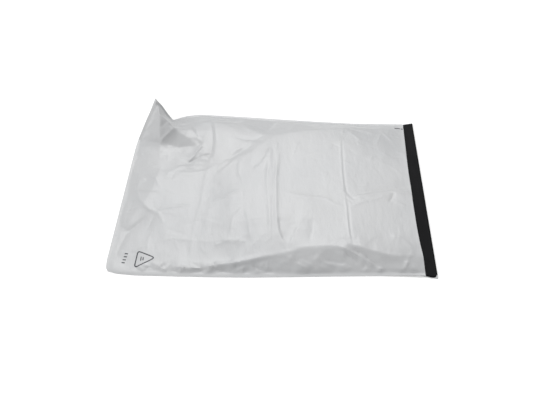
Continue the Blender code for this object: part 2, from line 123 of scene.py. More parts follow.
film = {
    "length": 0.450,
    "width": 0.350,
    "flap": 0.050,
    "visibleFlap": 0.016,  # the rest is folded under
    "wall": 0.00016,
    "seam": 0.005,  # width of each side weld
    "bottomFold": 0.003,  # the panels lie together this far from the closed end
    "nearSideInset": 6.5,  # millimetres from the solid's near limit to the bag's near side
    "foldRadius": 0.0005,  # of the flap's fold
    "foldInset": 0.0002,  # the fold stays this far inside the solid's end
    "flapFlare": 0.025,  # the flap's share wider at its fold than at the mouth
    "flapTaper": 0.043,  # and narrower again towards its hidden end
    "cornerRadius": 0.009,
    "cornerDepth": 0.8,  # share of a full round that the flap's near corner takes
    "cornerUnder": 0.35,  # share of the corner's reach that counts on the part folded under
    "weldGap": 0.00002,  # between the panels on the welds
    "leastGap": 0.0003,  # between them elsewhere
    "leastGapReach": 0.007,  # distance from the welds at which they have it
    "solidWalls": 0.0012,  # height that the solid's own walls and gap take
    "riseShare": 1.06,  # makes up for the height that blurring takes off
    "tipPad": 0.0007,  # thicker at the raised corner
    "tipReach": 0.012,
    "cellsAlong": 270,
    "cellsAcross": 200,
    "flapCells": 8,
    "foldCells": 6,
    "tuckedCells": 4,
    "coarseStep": 4,  # the layers that are hardly seen have every fourth line
    "fineShares": (0.22, 0.78),  # but stay fine up to and from these shares of length and width
    "ceilingDrop": 2,  # the inner layer's depth under the panel, in walls
    "ceilingLeast": 1.5,  # its least height over the back panel, in walls
    "ceilingRise": 0.93,  # share of the length from which it rises to the mouth's edge
    "mouthRows": 5,  # rows that take their height from the row before them
    "mouthRounding": 40,  # passes, as in the next three
    "edgeRounding": 4,
    "formBlur": 9,
    "cornerBlur": 2,
    "sharpAngle": 50,  # degrees
    # where the form stays crisp: ends of the change, as shares of the length or the width
    "crispEnd": (0.28, 0.34),
    "crispFarHalf": (0.56, 0.64),
    "crispNear": (0.08, 0.14),
    "crispFar": (0.86, 0.92),
    "crispFarShare": 0.6,
    # the near weld's slope: its height, where it starts and stops along the bag, and how far in it fades
    "weldLift": 0.0007,
    "weldLiftStart": (0, 0.03),
    "weldLiftStop": (0.96, 0.99),
    "weldLiftFade": (0.006, 0.028),
    # soft waves of the panel, the short ones only towards the closed end and off the far side
    "broadWaves": {"height": 0.00018, "length": 0.055, "width": 0.07, "seed": 5},
    "shortWaves": {"height": 0.0005, "length": 0.034, "width": 0.042, "seed": 8},
    "shortWavesStop": (0.38, 0.56),
    "shortWavesFar": (0.82, 0.9),
    # what all creases share
    "creaseShare": 1.25,  # factor on the listed heights
    "creaseFade": 0.0045,  # distance from the welds over which creases grow
    "creaseEnds": 0.2,  # share of its length over which a crease fades at each end
    "creaseLeast": 0.2,  # share of its height that it keeps there
    "creaseSeed": 47,
    "crosswiseShare": 0.35,  # of the small creases, turned by a right angle
    "ridgeShare": 0.6,  # of the small creases; the others are valleys
    "creaseSway": 0.25,  # bend of a small crease's two halves, in radians
    "creaseReaches": 5,  # a small crease is worked out as far as this many reaches
    "smallestCell": 0.0014,
    # how far the front panel's free edge stops short of the seams' ends: share of the width, and millimetres
    "mouthInset": [
        (0, 0), (0.08, 2.2), (0.16, 5.2), (0.27, 6.3), (0.41, 6.4), (0.477, 5.6),
        (0.6, 6.3), (0.72, 5), (0.82, 3.2), (0.92, 1.3), (1, 0),
    ],
    # creases of the front panel: name, height in millimetres (a ridge is above 0), reach to the right and to
    # the left of the line, and its points, in millimetres from the closed end and from the near side
    "creases": [
        ("earFacetBreak", 4.0, 7, 12, [(41, 259), (46, 265), (53, 272), (59, 279), (66, 287)]),
        ("shoulderDrop", -1.9, 11, 2.6,
         [(117, 322), (121, 312), (127, 287), (129.5, 259), (128.5, 233), (124, 218)]),
        ("secondFacetTop", 2.2, 2.6, 12, [(92, 214), (103, 236), (115, 258)]),
        ("secondFacetFoot", -1.2, 2.6, 3, [(92, 215), (112, 229), (129, 233)]),
        ("shoulderFold", 0.8, 4, 3, [(86, 297), (100, 276), (113, 257)]),
        ("nearRidgeLeft", 2.7, 2.2, 8,
         [(84, 8), (93, 5.5), (106, 4.5), (120, 4), (134, 5), (148, 6.5), (162, 8.5), (177, 10.5),
          (191, 13), (206, 16.5), (230, 22), (253, 26)]),
        ("nearRidgeStart", 1.0, 3, 4, [(64, 16), (78, 5), (86, 1)]),
        ("nearFacetA", 1.2, 3, 2.2, [(74, 12), (80, 6), (88, 0)]),
        ("nearFacetB", -1.1, 2.4, 3, [(88, 8), (97, 4), (104, -1)]),
        ("nearFacetC", 1.1, 2.4, 2.4, [(105, -1), (110, 2), (115, 6)]),
        ("nearFacetD", -1.0, 3, 2.4, [(120, 0), (130, 2), (141, 6)]),
        ("nearFacetE", 1.2, 2.4, 3, [(140, -1), (147, 2), (153, 6)]),
        ("nearFacetF", -1.2, 2.6, 3, [(150, 8), (166, 4), (182, 0)]),
        ("nearFacetG", 1.1, 3, 2.4, [(176, 0), (188, 4), (201, 10)]),
        ("nearFacetH", -1.1, 3, 2.4, [(206, 12), (220, 6), (240, 2)]),
        ("endDent", -1.5, 8, 6, [(47, 105), (31, 82), (16, 66), (12, 50), (13, 28)]),
        ("endRidge", 0.9, 4, 7, [(5, 202), (20, 175), (19, 154), (27, 134), (46, 113), (58, 109)]),
        ("endSpur", 0.5, 3, 5, [(20, 156), (36, 152), (56, 151)]),
        ("cornerRidge", 0.6, 4, 4, [(5, 202), (18, 188), (30, 172)]),
        ("cornerSpur", 0.5, 4, 3, [(30, 190), (46, 178), (59, 154)]),
        ("starRight", 0.5, 2, 4, [(58, 109), (68, 115), (92, 120), (114, 124)]),
        ("starLower", 0.45, 4, 3, [(58, 109), (66, 98), (72, 85)]),
        ("starNear", -0.4, 3, 4, [(57, 107), (53, 92), (49, 77)]),
        ("fineLevel", -0.35, 1.6, 2, [(88, 125), (100, 124.6), (114, 125.5)]),
        ("quarterFold", 0.55, 4, 9, [(129, 222), (125, 179), (123, 125), (118, 78), (118, 45), (119, 12)]),
        ("nearBreak", 0.35, 5, 4, [(60, 50), (90, 58), (113, 55), (142, 51), (174, 53), (205, 46)]),
        ("tensionLong", 0.35, 1.5, 7,
         [(208, 270), (194, 256), (178, 246), (167, 239), (155, 216), (138, 197)]),
        ("tensionTwin", 0.35, 1.5, 7, [(208, 267), (194, 249), (172, 225), (157, 203), (139, 184)]),
        ("tensionValley", -0.12, 3, 3, [(203, 262), (186, 247), (168, 230), (152, 210)]),
        ("earFan", 0.7, 3, 6, [(142, 210), (124, 196), (101, 191.5), (73, 192)]),
        ("earFanTwin", 0.4, 3, 5, [(131, 204), (110, 208), (83, 207), (64, 190), (60, 172)]),
        ("earFanLow", 0.4, 3, 4, [(71, 178), (86, 187), (111, 185)]),
        ("middleReach", 0.6, 2, 4, [(138, 125), (155, 135), (167, 141.5), (188, 153)]),
        ("sideDent", -0.6, 3, 4, [(13, 108), (18, 120), (17, 136)]),
        ("earFootA", 0.6, 3, 4, [(12, 268), (24, 269), (36, 266)]),
        ("earFootB", 0.5, 3, 4, [(42, 242), (57, 237), (61, 219)]),
        ("markFold", 0.35, 3, 3, [(55, 35), (53, 60), (58, 71)]),
        ("farHook", -0.5, 3, 4, [(160, 288), (167, 272.6), (180, 266), (199, 266), (212, 277)]),
        ("halfFoldLeft", 0.75, 3, 7, [(225, 262), (223, 214), (222, 171), (228, 105), (232, 48)]),
        ("halfFoldValley", -0.5, 2, 2,
         [(229, 264), (231, 215), (232.5, 176), (233.5, 105), (235, 65), (234, 34)]),
        ("halfFoldRight", 0.7, 5, 2.2,
         [(234, 268), (236, 176), (239, 94), (243, 67), (248, 53), (257, 31)]),
        ("halfFoldShort", 0.3, 2.5, 2, [(239, 232), (238.5, 205), (237.5, 172)]),
        ("hookFold", 0.4, 2.5, 3.5, [(226, 222), (216, 217), (208, 199), (199, 195)]),
        ("hookTwin", 0.4, 3, 3, [(226, 245), (220, 227), (210, 186)]),
        ("shortUpper", 0.4, 2.5, 2, [(269.5, 260), (265.5, 241), (261, 227)]),
        ("shortLeft", 0.45, 2, 2, [(176, 210), (177, 188), (183, 171)]),
        ("middleFold", 0.5, 2, 4,
         [(247, 144), (273, 136.5), (297, 135), (314, 131), (324, 122), (337, 117)]),
        ("dartFar", 0.8, 7, 5, [(256.5, 32), (264, 53), (272, 76), (281, 99)]),
        ("dartValley", -0.6, 6, 7, [(291, 92), (291, 70), (287, 45)]),
        ("dartNear", -0.7, 7, 6, [(244, 92), (246, 70), (252, 46)]),
        ("fanLeft", 0.4, 3, 3, [(186, 110), (175, 94), (173, 68)]),
        ("fanMiddle", 0.45, 3, 4, [(192, 117), (198, 84), (204, 43)]),
        ("fanRight", 0.35, 4, 3, [(196, 108), (210, 75)]),
        ("wallFacetA", 1.6, 4, 4, [(255, 25), (274, 11.5), (290, 4)]),
        ("wallFacetB", 1.3, 4, 4, [(271, 20), (290, 11.5), (302, 2)]),
        ("wallFacetC", 1.5, 4, 5, [(292, 24), (312, 15), (340, 13)]),
        ("wallFoot", -0.9, 4, 4, [(172, 1), (207, 4), (245, 4)]),
        ("plateauEdge", 0.4, 3, 5, [(268, 37), (300, 40), (330, 42), (348, 43)]),
        ("leftBreak", 0.4, 4, 4, [(150, 44), (162, 48), (176, 54)]),
        ("threeQuarterUpper", -0.8, 1.6, 1.4,
         [(342, 266), (341.6, 222), (341.8, 182), (344, 150), (346, 144)]),
        ("threeQuarterLeft", 0.5, 1.5, 7, [(339.5, 272), (339, 222), (339.4, 182), (341.6, 150)]),
        ("threeQuarterLower", -0.75, 1.6, 1.3, [(344, 141), (345.5, 115), (346, 92), (347, 66), (349, 44)]),
        ("threeQuarterSpine", 0.6, 1.6, 6, [(341.5, 143), (343, 115), (343.6, 91), (344.6, 66), (347, 42)]),
        ("kink", -0.5, 2, 2, [(345, 146), (350, 138.5), (356, 130.5)]),
        ("mouthFoldUpper", -0.4, 1.6, 2, [(354, 139.5), (373, 146), (394, 151), (418, 157), (443, 163.5)]),
        ("mouthFoldRidge", 0.45, 4, 2, [(350, 135), (373, 142.5), (394, 147.5), (418, 153), (443, 158)]),
        ("mouthFoldLower", 0.5, 4, 3, [(346, 115), (368, 127), (389, 135), (412, 144)]),
        ("mouthHook", -0.6, 2, 2.4, [(417, 149), (413.5, 139), (408, 128)]),
        ("mouthSpur", 0.55, 5, 2, [(416, 149.5), (427, 149.5), (443, 153)]),
        ("foldDiagonal", 2.8, 3, 4.5, [(326, 40), (342, 34), (355, 28), (370, 20), (387, 11)]),
        ("foldUnder", -1.2, 3, 3, [(334, 34), (347, 26), (359, 18), (370, 11)]),
        ("foldBeside", -2.0, 4, 2.8, [(347, 40), (356, 34), (364, 29.8), (375, 22), (389, 13)]),
        ("foldShoulder", 0.9, 3, 8, [(346, 43.5), (363, 38.5), (376, 34.4), (394, 29.7), (424, 25.5)]),
        ("wallFoldLow", 1.1, 2.6, 3.2, [(352, 4), (368, 6), (381, 8.6), (396, 13.5)]),
        ("wallCrossA", 1.4, 3, 2.4, [(383, 14), (392, 8), (402, 2)]),
        ("wallCrossB", 1.6, 2.4, 3, [(407, 2), (414, 8), (421, 12.6), (426, 22)]),
        ("wallCrossC", 1.3, 3, 2.4, [(419, 24), (428, 15), (435, 9), (443, 3.5)]),
        ("wallLong", -1.0, 4, 5, [(310, 20), (339, 18), (355, 11)]),
        ("mouthSlope", 0.6, 5, 4, [(402, 64), (418, 60), (429, 49), (436, 36)]),
        ("farSoftA", 0.45, 4, 3, [(411, 298), (404, 277), (398, 258)]),
        ("farSoftB", 0.5, 5, 5, [(352, 293), (364, 281), (374, 264)]),
        ("farSoftC", 0.35, 3, 3, [(424, 290), (441, 287)]),
        ("mouthSoftA", 0.3, 3, 4, [(430, 245), (444, 239)]),
        ("mouthSoftB", 0.3, 4, 3, [(416, 131), (434, 121)]),
    ],
    # smaller creases spread by the seed: how many, height, reach and length in millimetres, the shares of
    # length and width that they keep to, and their main direction with its spread, in degrees
    "smallCreases": [
        {"count": 50, "height": (0.05, 0.18), "reach": (1.5, 5), "length": (10, 45),
         "along": (0.42, 0.99), "across": (0.16, 0.84), "turn": (20, 60)},
        {"count": 80, "height": (0.08, 0.3), "reach": (2, 7), "length": (12, 50),
         "along": (0.02, 0.5), "across": (0.1, 0.8), "turn": (20, 75)},
        {"count": 22, "height": (0.15, 0.45), "reach": (2, 5), "length": (10, 30),
         "along": (0.02, 0.3), "across": (0.66, 0.94), "turn": (-30, 60)},
        {"count": 60, "height": (0.15, 0.6), "reach": (1.6, 3.2), "length": (12, 36),
         "along": (0.5, 0.99), "across": (0.02, 0.1), "turn": (-35, 45)},
        {"count": 44, "height": (0.4, 1.1), "reach": (1.6, 3.2), "length": (6, 18),
         "along": (0.1, 0.52), "across": (0.018, 0.055), "turn": (-40, 40)},
        {"count": 36, "height": (0.2, 0.6), "reach": (2, 4), "length": (10, 40),
         "along": (0.26, 0.99), "across": (0.88, 0.97), "turn": (15, 40)},
        {"count": 90, "height": (0.12, 0.32), "reach": (1.2, 2.2), "length": (8, 26),
         "along": (0.04, 0.98), "across": (0.12, 0.86), "turn": (35, 60)},
    ],
}


def bagPoint(x, y):
    # from millimetres on the bag to metres in the frame
    return (solidLow.x + x / 1000, solidLow.y + (y + film["nearSideInset"]) / 1000)


def waves(x, y, kind):
    return gradientNoise(x / kind["length"], y / kind["width"], kind["seed"])


# How the film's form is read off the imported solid
reading = {
    "castFrom": 0.2,  # height from which a plumb line falls
    "castStep": 2e-5,  # it goes on this far below the last hit
    "mostHits": 20,
    "halvings": 24,  # of the stretch in which an edge is looked for
    "outside": 0.01,  # an edge is looked for from inside to this far past the solid
    "edgeSamples": 240,
    "inward": 0.0004,  # step with which a point on the outline is moved in to where the solid is
    "mostSteps": 50,
    "raisedOver": 0.03,  # height that only the raised corner has
    "flapUnder": 0.0015,  # height that the folded flap stays below
}


class SolidForm:
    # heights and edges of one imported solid

    def __init__(self, node):
        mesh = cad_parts[node].data
        self.points = np.array([vertex.co for vertex in mesh.vertices])
        self.tree = BVHTree.FromPolygons([vertex.co for vertex in mesh.vertices],
                                         [list(face.vertices) for face in mesh.polygons])

    def crossings(self, x, y):
        # heights at which a plumb line meets the solid, from the top
        heights, start = [], Vector((x, y, reading["castFrom"]))
        for _ in range(reading["mostHits"]):
            hit = self.tree.ray_cast(start, Vector((0, 0, -1)))[0]
            if hit is None:
                break
            if not heights or heights[-1] - hit.z > reading["castStep"]:
                heights.append(hit.z)
            start = Vector((x, y, hit.z - reading["castStep"]))
        return heights

    def covers(self, x, y):
        return self.tree.ray_cast(Vector((x, y, reading["castFrom"])), Vector((0, 0, -1)))[0] is not None

    def edge(self, inside, outside):
        # last point between the two that the solid covers
        inside, outside = Vector(inside), Vector(outside)
        for _ in range(reading["halvings"]):
            middle = (inside + outside) / 2
            if self.covers(*middle):
                inside = middle
            else:
                outside = middle
        return inside


solidForm = SolidForm("mailer_film")
foldX = solidHigh.x - film["foldRadius"] - film["foldInset"]
mouthX = foldX - film["visibleFlap"]
foldedEndX = mouthX + math.pi * film["foldRadius"] + 2 * film["visibleFlap"] - film["flap"]
raisedPoints = solidForm.points[solidForm.points[:, 2] > reading["raisedOver"]]
tip = raisedPoints[raisedPoints[:, 1].argmax()]
nearCorner = solidForm.points[(solidForm.points[:, 0] + solidForm.points[:, 1]).argmin()]


def outline():
    # near, far, closed and mouth edges of the front panel in plan, each from the near or closed end
    samples, outside = reading["edgeSamples"], reading["outside"]
    nearX, farX = np.linspace(nearCorner[0], mouthX, samples), np.linspace(tip[0], mouthX, samples)
    closedY = np.linspace(nearCorner[1], tip[1], samples)
    near = np.array([solidForm.edge((x, 0), (x, solidLow.y - outside)) for x in nearX])
    far = np.array([solidForm.edge((x, 0), (x, solidHigh.y + outside)) for x in farX])
    closed = np.array([solidForm.edge((tip[0], y), (solidLow.x - outside, y)) for y in closedY])
    near[0] = closed[0] = nearCorner[:2]
    far[0] = closed[-1] = tip[:2]
    across, along = film["cellsAcross"] + 1, film["cellsAlong"] + 1
    near, far, closed = (rounded(evenlySpaced(line, count), film["edgeRounding"])
                         for line, count in ((near, along), (far, along), (closed, across)))
    t = np.linspace(0, 1, across)
    inset = np.interp(t, *zip(*film["mouthInset"]))[:, None]
    inset = rounded(inset, film["mouthRounding"])[:, 0] / 1000
    mouth = np.stack([mouthX - inset, near[-1, 1] + t * (far[-1, 1] - near[-1, 1])], axis=1)
    return near, far, closed, mouth


def planGrid():
    # the front panel's points in plan, row by row from the closed end, filled in between its four edges
    near, far, closed, mouth = outline()
    s = np.linspace(0, 1, len(near))[:, None, None]
    t = np.linspace(0, 1, len(closed))[None, :, None]
    between = (1 - t) * near[:, None] + t * far[:, None] + (1 - s) * closed[None] + s * mouth[None]
    corners = (1 - s) * (1 - t) * near[0] + s * (1 - t) * near[-1] + (1 - s) * t * far[0] + s * t * far[-1]
    return between - corners


def readHeights(plan):
    # front panel's top and back panel's underside under each grid point
    rows, columns = plan.shape[:2]
    centre = plan.mean(axis=(0, 1))
    top, back = np.zeros((rows, columns)), np.zeros((rows, columns))
    for i in range(rows):
        for j in range(columns):
            # a point on the outline is read just inside it
            place = Vector(plan[i, j])
            inward = Vector(centre - plan[i, j]).normalized() * reading["inward"]
            found = solidForm.crossings(*place)
            for _ in range(reading["mostSteps"]):
                if found:
                    break
                place += inward
                found = solidForm.crossings(*place)
            # the folded flap adds two crossings below the bag
            if len(found) > 3 and place.x > foldedEndX and found[-1] < reading["flapUnder"]:
                found = found[:-2]
            # where the bag is hollow, the fourth crossing is the back panel's underside
            top[i, j], back[i, j] = found[0], found[3] if len(found) > 3 else found[-1]
    top[-film["mouthRows"]:] = top[-film["mouthRows"] - 1]
    return top, back


def lineOffsets(x, y, line):
    # signed distance to a line of points, and how far along the line the nearest place is
    best = np.full(x.shape, np.inf)
    signed, place = np.zeros(x.shape), np.zeros(x.shape)
    for step, (start, end) in enumerate(zip(line, line[1:])):
        start, run = np.array(start), np.array(end) - np.array(start)
        raw = ((x - start[0]) * run[0] + (y - start[1]) * run[1]) / (run @ run)
        share = np.clip(raw, 0, 1)
        dx, dy = x - start[0] - share * run[0], y - start[1] - share * run[1]
        distance = np.hypot(dx, dy)
        side = np.sign(run[0] * dy - run[1] * dx)
        nearer = distance < best
        best = np.where(nearer, distance, best)
        signed = np.where(nearer, side * distance, signed)
        place = np.where(nearer, (step + share) / (len(line) - 1), place)
    return signed, place


def creaseShape(x, y, height, right, left, line):
    # sharp on its line, and falling off to each side over its reach
    ends, least = film["creaseEnds"], film["creaseLeast"]
    signed, place = lineOffsets(x, y, line)
    reach = np.where(signed > 0, left, right) / 1000
    fade = eased(place, 0, ends) * (1 - eased(place, 1 - ends, 1))
    return height / 1000 * np.exp(-np.abs(signed) / reach) * (least + (1 - least) * fade)


def addListedCreases(x, y, top):
    for _, height, right, left, line in film["creases"]:
        points = [bagPoint(*point) for point in line]
        top = top + creaseShape(x, y, height * film["creaseShare"], right, left, points)
    return top


def addSmallCreases(plan, top):
    x, y = plan[..., 0], plan[..., 1]
    dice = np.random.RandomState(film["creaseSeed"])
    sizes = list(zip(("along", "across"), top.shape))
    for group in film["smallCreases"]:
        for _ in range(group["count"]):
            i, j = (int(dice.uniform(*group[key]) * (size - 1)) for key, size in sizes)
            turn = math.radians(dice.normal(*group["turn"]))
            turn = turn + (dice.rand() < film["crosswiseShare"]) * math.pi / 2
            halfLength = dice.uniform(*group["length"]) / 2000  # in metres
            sway = dice.uniform(-film["creaseSway"], film["creaseSway"], 2)
            runs = [halfLength * np.array([math.cos(turn + bend), math.sin(turn + bend)]) for bend in sway]
            middle = np.array(plan[i, j])
            line = [middle - runs[0], middle, middle + runs[1]]
            height = dice.uniform(*group["height"]) * (1 if dice.rand() < film["ridgeShare"] else -1)
            right, left = dice.uniform(*group["reach"], 2)
            # only the cells near the crease are worked out
            distance = halfLength + film["creaseReaches"] * max(right, left) / 1000
            span = int(distance / film["smallestCell"]) + 2
            part = (slice(max(i - span, 0), i + span), slice(max(j - span, 0), j + span))
            top[part] += creaseShape(x[part], y[part], height, right, left, line)
    return top


def crispness(s, t):
    # 1 at the raised corner and on the near side, less on the far side, and 0 elsewhere
    raised = (1 - eased(s, *film["crispEnd"])) * eased(t, *film["crispFarHalf"])
    sides = np.maximum(1 - eased(t, *film["crispNear"]), film["crispFarShare"] * eased(t, *film["crispFar"]))
    return np.maximum(raised, sides)


def panelWaves(x, y, s, t):
    broad, short = film["broadWaves"], film["shortWaves"]
    leftEnd, inland = 1 - eased(s, *film["shortWavesStop"]), 1 - eased(t, *film["shortWavesFar"])
    return broad["height"] * waves(x, y, broad) + short["height"] * leftEnd * inland * waves(x, y, short)


def nearWeldLift(s, t):
    # the near weld slopes down to the outline, so that both panels lift a little beside it
    fromSide = t * film["width"]
    lift = film["weldLift"] * eased(s, *film["weldLiftStart"]) * (1 - eased(s, *film["weldLiftStop"]))
    return lift * np.clip(fromSide / film["seam"], 0, 1) * (1 - eased(fromSide, *film["weldLiftFade"]))


def filmSurface():
    # plan, front panel's top and back panel's underside, and where the welds end in rows and columns
    plan = planGrid()
    x, y = plan[..., 0], plan[..., 1]
    top, back = readHeights(plan)
    print("film form read from the frame", plan.shape)
    rows, columns = top.shape
    s, t = np.linspace(0, 1, rows)[:, None], np.linspace(0, 1, columns)[None, :]
    wide, narrow = blurred(top, film["formBlur"]), blurred(top, film["cornerBlur"])
    top = wide + (narrow - wide) * crispness(s, t)
    back = blurred(back, film["cornerBlur"])
    rise = np.maximum(top - back - film["solidWalls"], 0) * film["riseShare"]
    creased = addSmallCreases(plan, addListedCreases(x, y, rise + panelWaves(x, y, s, t)))
    # the creases die out towards the welds
    fromEdge = np.minimum(s * film["length"], np.minimum(t, 1 - t) * film["width"]) - film["seam"]
    rise = rise + (creased - rise) * eased(fromEdge, 0, film["creaseFade"])
    foldRow = max(round(film["bottomFold"] / film["length"] * (rows - 1)), 1)
    seamColumn = max(round(film["seam"] / film["width"] * (columns - 1)), 1)
    isSeam = np.ones((rows, columns), bool)
    isSeam[foldRow + 1:, seamColumn + 1:columns - seamColumn - 1] = False
    tipPad = film["tipPad"] * np.exp(-((x - tip[0]) ** 2 + (y - tip[1]) ** 2) / film["tipReach"] ** 2)
    opening = film["leastGap"] * eased(fromEdge, 0, film["leastGapReach"]) + np.maximum(rise, 0)
    gap = film["weldGap"] + tipPad + np.where(isSeam, 0, opening)
    back = back + nearWeldLift(s, t)
    return plan, back + 2 * film["wall"] + gap, back, foldRow, seamColumn


def lowest(grid, reach):
    # smallest value within reach cells, so that a coarse layer stays under it
    for _ in range(reach):
        padded = np.pad(grid, 1, mode="edge")
        grid = np.minimum.reduce([padded[1:-1, 1:-1], padded[:-2, 1:-1], padded[2:, 1:-1],
                                  padded[1:-1, :-2], padded[1:-1, 2:]])
    return grid


def flapSheet(plan, back):
    # the back panel goes on past the mouth, then turns down and back under itself
    fold, visible = film["foldRadius"], film["visibleFlap"]
    hidden = film["flap"] - visible
    reaches = np.concatenate([np.linspace(0, visible, film["flapCells"] + 1)[1:],
                              visible + np.linspace(0, math.pi * fold, film["foldCells"] + 1)[1:],
                              visible + np.linspace(math.pi * fold, hidden, film["tuckedCells"] + 1)[1:]])
    reaches = reaches[:, None]
    start = plan[-1]
    middle = start[:, 1].mean()
    share = np.clip(reaches / visible, 0, 1)
    x = np.where(share < 1, start[None, :, 0] + (foldX - start[None, :, 0]) * share, mouthX + reaches)
    tucked = np.clip((reaches - visible) / hidden, 0, 1)
    spread = 1 + film["flapFlare"] * share - film["flapTaper"] * tucked
    y = middle + (start[None, :, 1] - middle) * spread
    # the near corner is rounded, and less so on the part that is folded under
    radius = film["cornerRadius"]
    deep = np.clip(1 - (y - y[:, :1]) / radius, 0, 1)
    under = np.where(reaches > visible + math.pi * fold / 2, film["cornerUnder"], 1)
    out = np.clip(1 - (foldX - np.minimum(x, foldX)) / radius, 0, 1) * under
    y = y + radius * deep * (1 - np.sqrt(np.clip(1 - out ** 2, 0, 1))) * film["cornerDepth"]
    level = np.repeat(back[-1][None], len(reaches), axis=0)
    return x, y, level


def foldUnder(x, y, z, level):
    # bends a flat flap round the fold, so that what lies past it comes back underneath
    fold, wall = film["foldRadius"], film["wall"]
    beyond = x - foldX
    turn = np.clip(beyond / fold, 0, math.pi)
    reach = fold + z - level - wall / 2
    newX = np.where(beyond > 0, foldX + reach * np.sin(turn) - np.clip(beyond - math.pi * fold, 0, None), x)
    newZ = np.where(beyond > 0, level + wall / 2 - fold + reach * np.cos(turn), z)
    return np.stack([newX, y, newZ], axis=-1)


class ShellBuilder:
    # gathers layers of points and the faces between them

    def __init__(self):
        self.points, self.faces, self.slots, self.count = [], [], [], 0

    def layer(self, grid):
        # keeps the points and gives back their numbers, in the grid's own rows
        self.points.append(grid.reshape(-1, 3))
        numbers = np.arange(self.count, self.count + grid[..., 0].size).reshape(grid.shape[:-1])
        self.count += numbers.size
        return numbers

    def quads(self, numbers, slot, upward=True, step=1):
        # a coarse layer keeps every point on its own rim, and stays fine towards the raised corner
        rows, columns = numbers.shape
        fineRow, fineColumn = (int(share * size) for share, size in zip(film["fineShares"], numbers.shape))
        rowStops = sorted(set(range(fineRow)) | set(range(fineRow, rows - 1, step)) | {rows - 1})
        columnStops = sorted(set(range(0, fineColumn, step)) | set(range(fineColumn, columns)))
        placed, middles = np.concatenate(self.points), []
        for i, nextI in zip(rowStops, rowStops[1:]):
            for j, nextJ in zip(columnStops, columnStops[1:]):
                fine = (j == 0, nextI == rows - 1, nextJ == columns - 1, i == 0)
                down = numbers[i:nextI, j] if fine[0] else numbers[i:i + 1, j]
                right = numbers[nextI, j:nextJ] if fine[1] else numbers[nextI, j:j + 1]
                up = numbers[nextI:i:-1, nextJ] if fine[2] else numbers[nextI:nextI + 1, nextJ]
                left = numbers[i, nextJ:j:-1] if fine[3] else numbers[i, nextJ:nextJ + 1]
                face = np.concatenate([down, right, up, left]).tolist()
                face = face if upward else face[::-1]
                if len(face) == 4:
                    self.add(face, slot)
                    continue
                # triangles round a middle point, so that no sliver lies along the rim
                for low, high in zip(face, face[1:] + face[:1]):
                    self.add([low, high, self.count + len(middles)], slot)
                middles.append(placed[face].mean(axis=0))
        if middles:
            self.layer(np.array(middles))

    def strip(self, low, high, slot):
        for a, b, c, d in zip(low, low[1:], high[1:], high):
            self.add([a, b, c, d], slot)

    def add(self, face, slot):
        self.faces.append(face)
        self.slots.append(slot)

    def make(self, name):
        points = np.concatenate(self.points)
        used = sorted({number for face in self.faces for number in face})
        renumber = dict(zip(used, range(len(used))))
        mesh = bpy.data.meshes.new(name)
        faces = [[renumber[number] for number in face] for face in self.faces]
        mesh.from_pydata(points[used].tolist(), [], faces)
        mesh.polygons.foreach_set("material_index", self.slots)
        made = bpy.data.objects.new(name, mesh)
        bpy.context.scene.collection.objects.link(made)
        return made


def makeFilm():
    plan, top, back, foldRow, seamColumn = filmSurface()
    rows, columns = top.shape
    wall, step = film["wall"], film["coarseStep"]
    lastSeam = columns - 1 - seamColumn
    outer, under = np.dstack([plan, top]), np.dstack([plan, back])
    floor = under + (0, 0, wall)
    dropped = lowest(top, step + 1) - film["ceilingDrop"] * wall
    inside = np.maximum(dropped, back + film["ceilingLeast"] * wall)
    toMouth = eased(np.arange(rows)[:, None] / (rows - 1), film["ceilingRise"], 1)
    ceiling = np.dstack([plan, inside + (top - wall - inside) * toMouth])
    flapX, flapY, level = flapSheet(plan, back)
    flapUnder = foldUnder(flapX, flapY, level, level)
    flapInner = foldUnder(flapX, flapY, level + wall, level)

    # outer and ceiling are the front panel's two sides, under and floor the back panel's
    shell = ShellBuilder()
    outerAt = shell.layer(outer)
    underAt = np.concatenate([shell.layer(under), shell.layer(flapUnder)])
    floorAt = np.concatenate([shell.layer(floor), shell.layer(flapInner)])
    ceilingAt = shell.layer(ceiling)
    ceilingAt[foldRow], ceilingAt[:, seamColumn], ceilingAt[:, lastSeam] = (
        floorAt[foldRow], floorAt[:rows, seamColumn], floorAt[:rows, lastSeam])
    hollowRows, hollowColumns = slice(foldRow, rows), slice(seamColumn, lastSeam + 1)
    shell.quads(outerAt, 0)
    shell.quads(underAt[:rows], 0, upward=False, step=step)
    shell.quads(underAt[rows - 1:], 0, upward=False)
    shell.quads(floorAt[hollowRows, hollowColumns], 1, step=step)
    shell.quads(floorAt[rows - 1:], 1)
    shell.quads(ceilingAt[hollowRows, hollowColumns], 1, upward=False, step=step)
    shell.strip(underAt[:rows - 1, 0], outerAt[:-1, 0], 0)
    shell.strip(underAt[:rows - 1, -1][::-1], outerAt[:-1, -1][::-1], 0)
    shell.strip(underAt[0][::-1], outerAt[0][::-1], 0)
    nearEnd = [underAt[rows - 2, 0], underAt[rows - 1, 0], floorAt[rows - 1, 0]]
    farEnd = [underAt[rows - 1, -1], underAt[rows - 2, -1], outerAt[-2, -1]]
    shell.add(nearEnd + [outerAt[-1, 0], outerAt[-2, 0]], 0)
    shell.add(farEnd + [outerAt[-1, -1], floorAt[rows - 1, -1]], 0)
    shell.strip(floorAt[rows - 1, :seamColumn + 1], outerAt[-1, :seamColumn + 1], 0)
    shell.strip(ceilingAt[-1, hollowColumns], outerAt[-1, hollowColumns], 0)
    shell.strip(floorAt[rows - 1, lastSeam:], outerAt[-1, lastSeam:], 0)
    shell.strip(underAt[rows - 1:, 0], floorAt[rows - 1:, 0], 0)
    shell.strip(underAt[rows - 1:, -1][::-1], floorAt[rows - 1:, -1][::-1], 0)
    shell.strip(underAt[-1], floorAt[-1], 0)
    bag = shell.make("bagFilm")
    bag.data.shade_smooth()
    bag.data.set_sharp_from_angle(angle=math.radians(film["sharpAngle"]))
    return bag


# Materials

